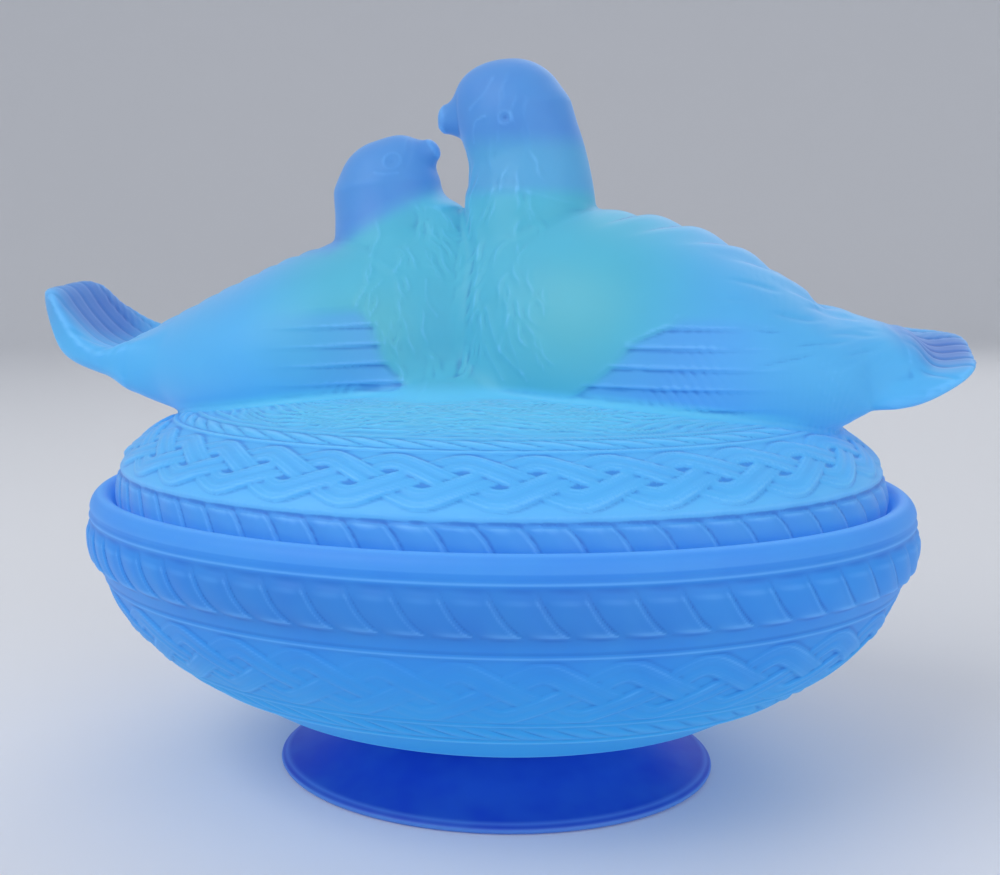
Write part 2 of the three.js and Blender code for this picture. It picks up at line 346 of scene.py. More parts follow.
def loft_field(points, stations, cap):
    """A rounded body along a spine. A station is x, y, z, half height, half width and roll in
    degrees, where a positive roll drops the side that faces -Y. Caps are so long at both ends."""
    samples = smooth_curve(stations, 16)
    centres, sizes = samples[:, :3], samples[:, 3:5]
    ahead = np.gradient(centres, axis=0)
    ahead /= np.linalg.norm(ahead, axis=1, keepdims=True)
    side = np.zeros_like(ahead)
    for i, (direction, roll) in enumerate(zip(ahead, samples[:, 5])):
        leaned = Matrix.Rotation(math.radians(roll), 3, Vector(direction)) @ Vector((0, 1, 0))
        leaned -= leaned.dot(Vector(direction)) * Vector(direction)
        side[i] = leaned.normalized()
    up = np.cross(ahead, side)
    spine = np.hstack([centres, ahead, side, up, sizes])
    gaps = np.diff(lengths_along(centres))
    gaps = np.append(gaps, gaps[-1])
    widest = sizes.max() + cap + NEARBY
    low, high = centres.min(0) - widest, centres.max(0) + widest
    field = np.full(len(points), FAR)
    chosen = np.where(np.all((points > low) & (points < high), axis=1))[0]
    for part in np.array_split(chosen, max(1, len(chosen) // 60000)):
        near = points[part]
        nearest = np.argmin((centres**2).sum(1)[None] - 2 * near @ centres.T, axis=1)
        forward = ((near - centres[nearest]) * ahead[nearest]).sum(1)
        # Between two samples the spine is followed in straight lines, so the body has no steps.
        at = np.clip(nearest + forward / gaps[nearest], 0, len(centres) - 1)
        before = np.minimum(at.astype(int), len(centres) - 2)
        share = (at - before)[:, None]
        middle = spine[before] * (1 - share) + spine[before + 1] * share
        offset = near - middle[:, :3]
        forward = (offset * middle[:, 3:6]).sum(1)
        at_end = ((at <= 0) & (forward < 0)) | ((at >= len(centres) - 1) & (forward > 0))
        half_high, half_wide = middle[:, 12], middle[:, 13]
        ends = np.where(at_end, forward, 0)
        aside, above = (offset * middle[:, 6:9]).sum(1), (offset * middle[:, 9:12]).sum(1)
        radii = np.stack([np.full(len(part), cap), half_wide, half_high], 1)
        scaled = np.stack([ends, aside, above], 1) / radii
        k0 = np.linalg.norm(scaled, axis=1)
        k1 = np.linalg.norm(scaled / radii, axis=1)
        field[part] = k0 * (k0 - 1) / np.maximum(k1, 1e-9)
    return field


class OvalField:
    """A solid of revolution, squeezed to the oval, from a closed outline of reach and height."""

    STEP = 0.2  # spacing of the tables
    PAST = 12.0  # how far the tables reach past the outline
    NUDGE = 0.1  # the step over which a slope is taken

    def __init__(self, outline):
        self.low = outline.min(0) - self.PAST
        self.low[0] = max(self.low[0], -2)
        count = np.ceil((outline.max(0) + self.PAST - self.low) / self.STEP).astype(int) + 1
        reach = self.low[0] + self.STEP * np.arange(count[0])
        height = self.low[1] + self.STEP * np.arange(count[1])
        grid = np.stack(np.meshgrid(reach, height, indexing="ij"), 2).reshape(-1, 2)
        walked = lengths_along(outline)
        best = np.full(len(grid), 1e9)
        place = np.zeros(len(grid))
        crossings = np.zeros(len(grid), int)
        for i in range(len(outline) - 1):
            start, end = outline[i], outline[i + 1]
            span = end - start
            length2 = max(span @ span, 1e-12)
            t = np.clip(((grid - start) @ span) / length2, 0, 1)
            gap = ((grid - start - t[:, None] * span) ** 2).sum(1)
            closer = gap < best
            best = np.where(closer, gap, best)
            place = np.where(closer, walked[i] + t * math.sqrt(length2), place)
            straddles = (start[1] > grid[:, 1]) != (end[1] > grid[:, 1])
            if abs(span[1]) > 1e-12:
                at = start[0] + (grid[:, 1] - start[1]) / span[1] * span[0]
                crossings += straddles & (grid[:, 0] < at)
        inside = crossings % 2 == 1
        self.signed = np.where(inside, -1, 1) * np.sqrt(best)
        self.signed = self.signed.reshape(count[0], count[1])
        self.place = place.reshape(count[0], count[1])
        self.count = count

    def lookup(self, table, reach, height):
        u = np.clip((reach - self.low[0]) / self.STEP, 0, self.count[0] - 1.001)
        v = np.clip((height - self.low[1]) / self.STEP, 0, self.count[1] - 1.001)
        i, j = u.astype(int), v.astype(int)
        fu, fv = u - i, v - j
        return (
            table[i, j] * (1 - fu) * (1 - fv)
            + table[i + 1, j] * fu * (1 - fv)
            + table[i, j + 1] * (1 - fu) * fv
            + table[i + 1, j + 1] * fu * fv
        )

    def __call__(self, points):
        """The field, and how far along the outline each point's nearest place is."""
        x, y, height = points.T
        reach = np.sqrt(x**2 + (y / OVAL) ** 2)
        flat = self.lookup(self.signed, reach, height)
        slope_r = (self.lookup(self.signed, reach + self.NUDGE, height) - flat) / self.NUDGE
        slope_z = (self.lookup(self.signed, reach, height + self.NUDGE) - flat) / self.NUDGE
        squeeze = np.sqrt(x**2 + y**2 / OVAL**4) / np.maximum(reach, 1e-6)
        steep = np.sqrt((slope_r * squeeze) ** 2 + slope_z**2)
        return flat / np.maximum(steep, 0.3), self.lookup(self.place, reach, height)


def closed_outline(stretches):
    pieces = [smooth_curve(points, 12) for points in stretches]
    line = [pieces[0]] + [piece[1:] for piece in pieces[1:]]
    return np.vstack(line)


# ----------------------------------------
# The lid: a domed cover with its bands, and the two doves
# ----------------------------------------
COVER_STRETCHES = [
    [(0, LID_BASE), (65.2, LID_BASE)],
    [(65.2, LID_BASE), (66.3, 48.8), (66.5, 51.2), (65.8, 54.6)],
    [(65.8, 54.6), (66.05, 54.9), (66.05, 55.3), (65.8, 55.7)],
    [(65.8, 55.7), (64.6, 57.3), (62.5, 59.1), (59.8, 61.1), (56.7, 62.7)],
    [(56.7, 62.7), (54.1, 63.7), (51.6, 64.4)],
    [(51.6, 64.4), (40, 66.8), (22, 68.3), (0, 68.6)],
]
HOLLOW_STRETCHES = [
    [(0, LID_BASE - 4), (62.5, LID_BASE - 4)],
    [(62.5, LID_BASE - 4), (62.5, 50)],
    [(62.5, 50), (61.4, 54.2), (57.8, 58), (50, 60.6), (30, 63.4), (0, 64.8)],
]
cover_line = closed_outline(COVER_STRETCHES)
cover_marks = [0.0]  # how far along the outline each stretch starts, and where the last one ends
for cover_piece in COVER_STRETCHES:
    cover_marks.append(cover_marks[-1] + lengths_along(smooth_curve(cover_piece, 12))[-1])
cover_field = OvalField(cover_line)
hollow_field = OvalField(closed_outline(HOLLOW_STRETCHES))


def cover_relief(points, place):
    share = share_of_place(points[:, 0], points[:, 1])
    relief = np.zeros(len(points))

    def band(first, last):
        low, high = cover_marks[first], cover_marks[last]
        inside = (place > low) & (place < high)
        return inside, share[inside], place[inside] - low, high - low

    inside, turn, up, high = band(1, 2)
    relief[inside] = gadroon_relief(turn, up, high, 60, 0.6, True)
    inside, turn, up, high = band(3, 4)
    relief[inside] = plait_relief(turn, up, high, 33, 4.4, 0.72)
    inside, turn, up, high = band(4, 5)
    relief[inside] = rope_relief(turn, up, high, 57, 0.45)
    inside, turn, up, high = band(5, 6)
    relief[inside] = straw_relief(turn, up, 0.42) * ramp(up, 0.2, 1.5)
    return relief


RIGHT_BODY = [
    (-1.8, 0, 77, 18.5, 15, 0),
    (5, 0, 76.5, 21.0, 20, 0),
    (16, 0, 75.5, 22.8, 23.5, 0),
    (30, 0, 74, 21.8, 24.5, 1),
    (44, 0, 72.4, 17.2, 21.5, 3),
    (54, 0, 72.3, 11.9, 17, 8),
    (61, 0.5, 73.7, 7.4, 12.4, 12),
    (68, 0.8, 74.6, 3.6, 8.5, 14),
]
RIGHT_NECK = [
    (6.4, 0, 86, 12, 14, 0),
    (6.8, 0, 98, 11.2, 11.2, 0),
    (6.4, 0, 106, 10.05, 9.0, 0),
    (5.0, 0, 114, 8.7, 8.0, 0),
]
LEFT_BODY = [
    (-2.8, 0, 77, 18.5, 15, 0),
    (-12, 0, 76.5, 20, 19.5, 0),
    (-25, 0, 74.8, 18.3, 23.5, 0),
    (-37, 0, 72.8, 16.3, 23, -1),
    (-48, 0, 72, 12.8, 19, -3),
    (-57, 0, 71.9, 8.9, 14, -5),
    (-63, 0, 72.0, 6.0, 11, -8),
]
LEFT_NECK = [
    (-15, 0, 84, 12.6, 14, 0),
    (-17.3, 0, 92, 10.4, 11.8, 0),
    (-18.0, 0, 97, 9.7, 10.2, 0),
    (-18.6, 0, 102, 9.2, 8.6, 0),
]

# The tails: heights of the top face along its far (+Y) and near (-Y) sides, and of the underside
# along both, each at a reach along X; then the middle of the rounded end, its reach and half width.
RIGHT_TAIL = {
    "far": [(54, 76.4), (62, 77.0), (66.5, 76.6), (72.6, 76.6), (80, 77.4)],
    "near": [(54, 70), (63, 69.4), (70, 70.6), (76, 72.4), (80, 73.8)],
    "far_under": [(54, 68), (63, 70.5), (72, 73.2), (80, 74.4)],
    "near_under": [(54, 65), (63, 66.0), (69.6, 67.0), (75.4, 69.4), (80, 72)],
    "middle": (52, 1.4), "reach": 29.1, "half_wide": 13.4, "sag": 0.3, "corner": 5,
}
LEFT_TAIL = {
    "far": [(54, 76), (62, 75.8), (66.6, 76.4), (71.3, 78.3), (76, 82.4), (80, 87.2), (86, 89.6)],
    "near": [(54, 77.5), (62, 75.3), (67.9, 74.6), (72.7, 76.4), (77.2, 81.8), (80, 85.8), (84, 87.6)],
    "far_under": [(54, 64), (62, 66.5), (70, 69.4), (76, 73.6), (81, 79.5), (86, 83)],
    "near_under": [(54, 63.6), (60.5, 66.6), (65.5, 68.6), (71, 70.1), (76, 71.5), (78.5, 73),
                   (80.5, 76.2), (83, 81)],
    "middle": (-50, 1.0), "reach": 33.8, "half_wide": 12.8, "sag": 1.4, "corner": 3.0,
}
TAIL_SIDE = 9.0  # how far to each side the tails' heights are given


def tail_field(points, tail):
    """A tail between its top face and its underside, rounded off at the end."""
    x, y, z = points.T
    way = 1.0 if tail["middle"][0] > 0 else -1.0
    reach = np.abs(x)
    heights = {}
    for name in ("far", "near", "far_under", "near_under"):
        line = smooth_curve(tail[name], 6)
        heights[name] = np.interp(reach, line[:, 0], line[:, 1])
    share = np.clip((y + TAIL_SIDE) / (2 * TAIL_SIDE), -0.2, 1.2)
    top = heights["near"] * (1 - share) + heights["far"] * share
    top -= tail["sag"] * 4 * share * (1 - share)
    under = heights["near_under"] * (1 - share) + heights["far_under"] * share
    slope = np.hypot((heights["far"] - heights["near"]) / (2 * TAIL_SIDE), 0.35)
    steep = np.sqrt(1 + slope**2)
    ahead = np.maximum(way * (x - tail["middle"][0]), 0) / tail["reach"]
    aside = np.abs(y - tail["middle"][1]) / tail["half_wide"]
    corner = tail["corner"]
    plan = ((ahead**corner + aside**corner) ** (1 / corner) - 1) * tail["half_wide"]
    front = 8 - way * (x - tail["middle"][0])
    field = soft_most((z - top) / steep, (under - z) / steep, 1.4)
    field = soft_most(field, plan, 2.8)
    return soft_most(field, front, 7)


def head_fields(points, neck, centre, half_sizes, beak, tip):
    head = smooth_union(loft_field(points, neck, 4), egg_field(points, centre, half_sizes), 1.6)
    return smooth_union(head, loft_field(points, beak, tip), 0.9)


def dove_fields(points):
    """The right dove, the left one, and both as one smooth field."""
    right = smooth_union(loft_field(points, RIGHT_BODY, 3.2), tail_field(points, RIGHT_TAIL), 5)
    beak = [(0, 0, 113.6, 4.2, 3.6, 0), (-5, 0, 113.8, 3.4, 2.9, 0), (-7.7, 0, 113.8, 2.4, 2.1, 0)]
    head = head_fields(points, RIGHT_NECK, (4.0, 0, 113.1), (9.4, 8.7, 10.15), beak, 1.6)
    head = smooth_union(head, egg_field(points, (0.5, 0, 116), (6.9, 6.3, 6.6)), 1.6)
    right = smooth_union(right, head, 1.3)
    left = smooth_union(loft_field(points, LEFT_BODY, 3.2), tail_field(points, LEFT_TAIL), 4)
    beak = [(-16, 0, 105.2, 3.8, 3.4, 0), (-12.4, 0, 107.4, 2.9, 2.7, 0), (-10.6, 0, 108.6, 2.0, 1.9, 0)]
    head = head_fields(points, LEFT_NECK, (-18.4, 0, 101.6), (8.75, 8.4, 8.9), beak, 1.4)
    head = smooth_union(head, egg_field(points, (-15.9, 0, 104.4), (5.6, 5.6, 6.8)), 1.4)
    throat = [(-12, 0, 86, 6, 9, 0), (-8.6, 0, 93, 5.6, 8.5, 0), (-9, 0, 98, 3.8, 7, 0)]
    left = smooth_union(smooth_union(left, head, 1.3), loft_field(points, throat, 2), 3)
    both = smooth_union(right, left, 1.8)
    return right, left, smooth_union(both, egg_field(points, (-4.5, 0, 66), (17, 25.5, 7)), 5)


def inner_fields(points):
    """The hollow of the cover and, above it, the plunger's mark inside each dove."""
    hollow, _ = hollow_field(points)
    for way in (1, -1):
        mark = loft_field(points, [
            (way * 4, 0, 62, 6, 8, 0), (way * 18, 0, 67.5, 9.5, 11.5, 0),
            (way * 34, 0, 66.5, 8.5, 12, 0), (way * 47, 0, 62, 5, 10, 0)], 5)
        hollow = smooth_union(hollow, mark, 2)
    return hollow


def lid_field(points):
    cover, _ = cover_field(points)
    solid = smooth_union(cover, dove_fields(points)[2], 1.4)
    return soft_most(solid, -inner_fields(points), 0.6)


# ----------------------------------------
# The doves' feathers, pressed into the surface. Seen from the side, a line runs through points of
# x and height; along is the distance from the plane where the breasts meet, towards the tail.
# ----------------------------------------
MEETING = -4.5  # the plane between the breasts
ROW_PITCH = 3.1  # height of one row of wing feathers
WINGS = {
    1: {"lead": [(60, 17), (69, 21.5), (72.8, 26.5), (77.1, 30.1), (79.8, 36), (86, 38)],
        "end": 58, "lowest": 67.2, "rows": 4.4, "fall": 0.03, "scale": 0.8,
        "tips": [22, 30, 37.4, 45.2, 52.2, 61.1, 67.5, 74]},
    -1: {"lead": [(60, -3), (67.4, -0.7), (70.1, 5), (73.3, 8.2), (78.8, 9.7), (84, 13.7)],
         "end": 32, "lowest": 66.3, "rows": 4.9, "fall": 0.05, "scale": 0.35,
         "tips": [22, 26.5, 30.5, 35, 38.8, 42.5, 47, 51.1, 55, 59]},
}
DRAWN_DEPTH = 0.32  # how proud a drawn line of strength 1 stands
DRAWN_LINES = [  # half width, strength, and the line
    (0.45, 0.45, [(65.6, 78.6), (67.5, 77), (68.4, 75.2), (68.7, 73.6)]),
    (0.5, 0.4, [(1.6, 119), (0.2, 116.6), (-2.2, 114.4)]),
    (0.35, -0.4, [(-5.4, 117), (-5.3, 114), (-5.2, 111)]),
    (0.35, 0.35, [(0.6, 113), (-1.0, 112.4), (-1.6, 111), (-1.6, 109)]),
    (0.35, -0.25, [(-13.8, 110.5), (-13.4, 108), (-13.6, 105.5)]),
    (0.4, 0.3, [(-18.4, 104.3), (-16.6, 104), (-14.6, 104.3)]),
    (0.6, 0.4, [(-28, 92.4), (-22, 92.2), (-16.5, 89.8), (-12.5, 87.6)]),
    (0.6, 0.35, [(0.4, 100.2), (4, 101.4), (9.5, 100.2), (16.5, 98.4)]),
    (0.45, 0.4, [(-7.9, 86.4), (-7.5, 83.2), (-5.9, 80.8)]),
    (0.45, 0.35, [(-6.7, 74), (-6.5, 69)]),
    (0.45, 0.4, [(1.5, 81.7), (1.9, 78.2), (3.5, 74.7), (5.8, 70.9)]),
    (0.45, 0.4, [(2.7, 82.1), (3.9, 78.6), (5.5, 75.5), (9, 72.1)]),
    (0.45, 0.35, [(6.7, 80.9), (7, 77.5), (8.6, 73.6), (9.8, 70.9)]),
    (0.6, 0.3, [(25.6, 77.1), (28.7, 78.6), (31.5, 79.8), (32.9, 81.1)]),
]
EYES = [(4.0, 112.6, 1.0), (-15.8, 106.3, 1.35)]  # across, height and radius of each faint ring


def drawn_line(x, z, points, half_width):
    """1 on a line drawn on a dove's side, fading away from it."""
    line = smooth_curve(points, 5)
    best = np.full(len(x), 1e9)
    for start, end in zip(line[:-1], line[1:]):
        span = end - start
        t = np.clip(((x - start[0]) * span[0] + (z - start[1]) * span[1]) / (span @ span), 0, 1)
        gap = (x - start[0] - t * span[0]) ** 2 + (z - start[1] - t * span[1]) ** 2
        best = np.minimum(best, gap)
    return np.exp(-best / half_width**2)


def wing_rows(along, z, wing):
    """Long feathers, one row under another, set back behind the wing's leading edge."""
    lead = np.interp(z, *np.array(wing["lead"]).T)
    row = (z + wing["fall"] * (along - 20) - wing["lowest"]) / ROW_PITCH
    share = row % 1
    inside = ramp(along - lead, -0.5, 1.6) * (1 - ramp(along, wing["end"] - 22, wing["end"]))
    inside *= ramp(row, -0.3, 0.1) * (1 - ramp(row, wing["rows"] - 0.5, wing["rows"] + 0.4))
    barbs = np.sin(2 * np.pi * (along + 0.7 * z) / 1.6)
    barbs *= ramp(along - lead, 8, 14) * (1 - ramp(along, wing["end"] - 18, wing["end"] - 10))
    feather = 0.42 * (1 - share) ** 1.3 * ramp(share, 0, 0.2) + 0.07 * ridge(share, 0.18, 0.1)
    return inside * (feather - 0.4 + 0.045 * barbs), inside * ramp(along - lead, -1, 3)


def covert_scales(along, girth, tips):
    """Feathers that overlap towards the tail: how proud each stands between its root and its
    round tip, for tips at the given distances along the ridge."""
    place = np.interp(along + 0.09 * girth**2, tips, np.arange(len(tips)))
    return np.sin(np.pi * (place % 1) ** 0.75)


def streaks(along, z, root, count):
    """Thin gaps between feathers, which draw together towards the root of the tail."""
    angle = np.arctan2(z - root[1], root[0] - along)
    gap = np.hypot(z - root[1], root[0] - along)
    wander = 0.5 * np.sin(0.3 * gap + 9 * angle)
    patch = ramp(np.sin(0.45 * gap + 23 * angle), -0.6, 0.7)
    thin = np.abs(np.sin(count * angle + wander)) * gap / count
    return np.exp(-((thin / 0.4) ** 2)) * patch


def breast_strokes(corners, normals, weight):
    """Fine wavy strokes that run down breasts and necks, always in the same places."""
    chance = np.random.default_rng(11)
    x, y, z = corners.T
    along = np.abs(x - MEETING)
    right = x > MEETING
    high = np.where(right, 119.0, 97.0)
    back = np.where(right, 18 - 0.15 * (z - 80), 14 - 0.1 * (z - 80))
    fits = (weight > 0.9) & (z > 71) & (z < high) & (along < back) & (along > 1.2)
    chosen = np.where(fits)[0]
    near = np.where((weight > 0) & (z > 66) & (z < 123) & (along < 27))[0]
    places, ups = corners[near], normals[near]
    relief = np.zeros(len(corners))
    for seat in chance.choice(chosen, 220, replace=False):
        centre, up = corners[seat], normals[seat]
        lean = (0.5 - 0.06 * along[seat] + chance.uniform(-0.3, 0.3)) * (-1 if right[seat] else 1)
        down = np.array([lean, 0, -1.0])
        down -= up * (down @ up)
        down /= np.linalg.norm(down)
        aside = np.cross(up, down)
        length, half_width = chance.uniform(2.0, 4.6), chance.uniform(0.4, 0.6)
        bend, phase = chance.uniform(-0.05, 0.05), chance.uniform(0, 6)
        offset = places - centre
        run, off = offset @ down, offset @ aside
        close = (np.abs(run) < length) & (np.abs(off) < 3) & (np.abs(offset @ up) < 3)
        run, off = run[close], off[close] + bend * run[close] ** 2 + 0.25 * np.sin(1.3 * run[close] + phase)
        stroke = np.exp(-((off / half_width) ** 2)) * (1 - (run / length) ** 2)
        proud = 0.09 if centre[2] > 107 else 0.19
        at = near[close]
        relief[at] = np.maximum(relief[at], proud * stroke)
    return relief


def dove_relief(corners, normals, weight):
    """How proud the doves' feathers stand, and how much a point belongs to the wing rows."""
    x, y, z = corners.T
    relief = np.zeros(len(corners))
    rows_share = np.zeros(len(corners))
    girth = np.arctan2(y, z - 66) * 20
    for way, wing in WINGS.items():
        mine = way * (x - MEETING) > 0
        along = way * (x - MEETING)
        rows, inside = wing_rows(along, z, wing)
        flank = mine * (1 - ramp(normals[:, 2], 0.55, 0.9))
        relief += flank * rows
        rows_share += flank * inside
        back = mine * ramp(along, 22, 30) * (1 - ramp(along, 60, 68)) * ramp(np.abs(girth), 10.0, 4.0)
        back *= ramp(normals[:, 2], 0.3, 0.7) * (z > 76)
        relief += wing["scale"] * back * (covert_scales(along, girth, wing["tips"]) - 0.6)
        if way > 0:
            fan = streaks(along, z, (76.0, 76.5), 30)
            fan *= ramp(along, 40, 50) * (1 - ramp(along, 66, 71)) * ramp(z, 71, 75)
            relief -= 0.18 * mine * fan
    relief += breast_strokes(corners, normals, weight) * (1 - rows_share)
    relief += tail_ribs(x, y, z, normals)
    for half_width, strength, line in DRAWN_LINES:
        low, high = np.min(line, 0) - 4 * half_width, np.max(line, 0) + 4 * half_width
        near = (x > low[0]) & (x < high[0]) & (z > low[1]) & (z < high[1])
        relief[near] += DRAWN_DEPTH * strength * drawn_line(x[near], z[near], line, half_width)
    for across, height, radius in EYES:
        off = np.hypot(x - across, z - height)
        relief += 0.1 * ridge(off, radius, 0.4) - 0.1 * ridge(off, 0, 0.5 * radius)
    return relief * weight, rows_share * weight


def tail_ribs(x, y, z, normals):
    """Grooves between the feathers on the top faces of both tails, and barbs along their far edges."""
    relief = np.zeros(len(x))
    for way, root, start, count, deep in ((1, 34.0, 66.5, 38, 0.2), (-1, 40.0, 60.0, 34, 0.15)):
        reach = way * x
        angle = np.arctan2(y - 1, reach - root)
        gap = np.hypot(y - 1, reach - root)
        groove = np.abs(np.sin(count * angle + 0.35 * np.sin(0.35 * reach))) * gap / count
        barbs = np.sin(2 * np.pi * (reach - 0.8 * np.abs(y - 1)) / 1.5) * ramp(y, 5, 8)
        top = ramp(reach, start, start + 6) * ramp(normals[:, 2], 0.1, 0.45)
        relief += top * (0.1 - deep * np.exp(-((groove / 0.45) ** 2)) + 0.04 * barbs)
    return relief


def point_normals(corners, quads):
    one = corners[quads[:, 2]] - corners[quads[:, 0]]
    other = corners[quads[:, 3]] - corners[quads[:, 1]]
    facing = np.cross(one, other)
    normals = np.zeros_like(corners)
    for axis in range(3):
        for corner in range(4):
            normals[:, axis] += np.bincount(quads[:, corner], facing[:, axis], len(corners))
    return normals / np.maximum(np.linalg.norm(normals, axis=1, keepdims=True), 1e-12)


def crest_of(corners, quads, rounds=4):
    """How far each point stands proud of the surface round it: about 1 on a sharp raised line,
    0 where it is smooth and -1 in a groove."""
    smooth = corners.copy()
    starts = np.concatenate([quads[:, k] for k in range(4)])
    ends = np.concatenate([quads[:, (k + 1) % 4] for k in range(4)])
    count = np.bincount(starts, minlength=len(corners)) + np.bincount(ends, minlength=len(corners))
    count = np.maximum(count, 1)
    for _ in range(rounds):
        mean = np.empty_like(smooth)
        for axis in range(3):
            total = np.bincount(starts, smooth[ends, axis], len(corners))
            total += np.bincount(ends, smooth[starts, axis], len(corners))
            mean[:, axis] = total / count
        smooth = mean
    proud = ((corners - smooth) * point_normals(corners, quads)).sum(1)
    return np.clip(proud / SHARP, -1, 1)


def lid_surface():
    """The lid's smooth surface, found on a coarse grid first and then finely near the surface."""
    low = np.array([lid_low.x - AXIS_X, lid_low.y, lid_low.z]) / MM - MARGIN
    high = np.array([lid_high.x - AXIS_X, lid_high.y, lid_high.z]) / MM + MARGIN
    wide = VOXEL * COARSE
    cells = np.ceil((high - low) / wide).astype(int)
    axes = [low[k] + wide * np.arange(cells[k] + 1) for k in range(3)]
    coarse_points = np.stack(np.meshgrid(*axes, indexing="ij"), 3).reshape(-1, 3)
    coarse = lid_field(coarse_points).reshape(cells + 1)
    fine = coarse
    for axis in range(3):
        fine = stretch_axis(fine, axis, COARSE)
    fine = np.ascontiguousarray(np.clip(fine, -BAND, BAND), dtype=np.float32)
    near = np.argwhere(np.abs(fine) < BAND * 0.99)
    values = lid_field(low + near * VOXEL)
    fine[tuple(near.T)] = np.clip(values, -BAND, BAND)
    grid = openvdb.FloatGrid(BAND)
    grid.copyFromArray(fine)
    places, quads = grid.convertToQuads(isovalue=0.0)
    return low + places.astype(float) * VOXEL, quads.astype(int)


def make_lid():
    """The lid's smooth surface with its relief pressed in."""
    corners, quads = lid_surface()
    normals = point_normals(corners, quads)
    cover, place = cover_field(corners)
    right, left, doves = dove_fields(corners)
    # The creases where the doves meet, and where they sit on the cover, are left plain.
    apart = ramp(np.maximum(np.abs(cover), np.abs(doves)), 0.4, 1.4)
    apart *= 0.3 + 0.7 * ramp(np.maximum(np.abs(right), np.abs(left)), 0.5, 1.4)
    raised = cover_relief(corners, place) * ramp(np.abs(cover), 1.0, 0.3)
    feathers, rows = dove_relief(corners, normals, ramp(np.abs(doves), 1.0, 0.3))
    # The right dove's breast has a raised edge beside the crease.
    breast_edge = 0.28 * ridge(left, 2.2, 0.7) * (right < 1) * ramp(corners[:, 2], 76, 84)
    corners = corners + normals * (apart * (raised + feathers + breast_edge))[:, None]
    crest = crest_of(corners, quads) * apart
    paint = {"crest": crest, "rows": rows, "dove": ramp(cover, 0.6, 2.5)}
    return mesh_object("lid_glass", corners, [quads], paint)


def stretch_axis(values, axis, times):
    """The values with straight steps put in between, so many for each one before."""
    values = np.moveaxis(values, axis, 0)
    share = (np.arange(times) / times)[None, :, None, None]
    between = values[:-1, None] * (1 - share) + values[1:, None] * share
    whole = np.concatenate([between.reshape(-1, *values.shape[1:]), values[-1:]])
    return np.moveaxis(whole, 0, axis)


# ----------------------------------------
# Materials
# ----------------------------------------
def light_of(red, green, blue):
    """A screen colour, 0 to 255, as the linear colour that the shaders take."""
    shares = np.array([red, green, blue]) / 255
    linear = np.where(shares <= 0.04045, shares / 12.92, ((shares + 0.055) / 1.055) ** 2.4)
    return (*linear.tolist(), 1.0)


class Painter:
    """Short names for the nodes that the glass's colours are made with. Its height and across, from
    the bowl's axis, are in design millimetres."""

    def __init__(self, tree):
        self.tree = tree
        self.place = tree.nodes.new("ShaderNodeTexCoord").outputs["Object"]
        parts = tree.nodes.new("ShaderNodeSeparateXYZ")
        tree.links.new(self.place, parts.inputs[0])
        aside = self.maths("SUBTRACT", parts.outputs["X"], AXIS_X)
        self.across = self.maths("DIVIDE", aside, MM)
        self.height = self.maths("DIVIDE", parts.outputs["Z"], MM)

    def plug(self, socket, value):
        if isinstance(value, bpy.types.NodeSocket):
            self.tree.links.new(value, socket)
        else:
            socket.default_value = value

    def maths(self, kind, a, b=0.0, c=0.0):
        node = self.tree.nodes.new("ShaderNodeMath")
        node.operation = kind
        for socket, value in zip(node.inputs, (a, b, c)):
            self.plug(socket, value)
        return node.outputs[0]

    def vector(self, kind, a, b=(0, 0, 0)):
        node = self.tree.nodes.new("ShaderNodeVectorMath")
        node.operation = kind
        self.plug(node.inputs[0], a)
        self.plug(node.inputs[1], b)
        return node

    def ramp(self, value, start, end, low=0.0, high=1.0):
        node = self.tree.nodes.new("ShaderNodeMapRange")
        node.interpolation_type = "SMOOTHSTEP"
        for name, setting in (("Value", value), ("From Min", start), ("From Max", end),
                              ("To Min", low), ("To Max", high)):
            self.plug(node.inputs[name], setting)
        return node.outputs["Result"]

    def mix(self, share, a, b, kind="MIX"):
        node = self.tree.nodes.new("ShaderNodeMix")
        node.data_type = "RGBA"
        node.blend_type = kind
        colours = [socket for socket in node.inputs if socket.type == "RGBA"]
        self.plug(node.inputs[0], share)
        self.plug(colours[0], a)
        self.plug(colours[1], b)
        return [socket for socket in node.outputs if socket.type == "RGBA"][0]

    def paint(self, name):
        node = self.tree.nodes.new("ShaderNodeAttribute")
        node.attribute_name = name
        return node.outputs["Fac"]

    def near(self, x, y, z, inner, outer, flat=1.0):
        """1 near a place in design millimetres, 0 further off than outer; flat squeezes Y."""
        gap = self.vector("SUBTRACT", self.place, (x * MM + AXIS_X, y * MM, z * MM))
        scaled = self.vector("MULTIPLY", gap.outputs[0], (1, flat, 1))
        length = self.vector("LENGTH", scaled.outputs[0])
        return self.ramp(length.outputs["Value"], inner * MM, outer * MM, 1.0, 0.0)

    def noise(self, size, detail=2.0):
        """Soft noise whose patches are about so many millimetres wide."""
        node = self.tree.nodes.new("ShaderNodeTexNoise")
        self.tree.links.new(self.place, node.inputs["Vector"])
        node.inputs["Scale"].default_value = 1 / (size * MM)
        node.inputs["Detail"].default_value = detail
        return node.outputs["Fac"]


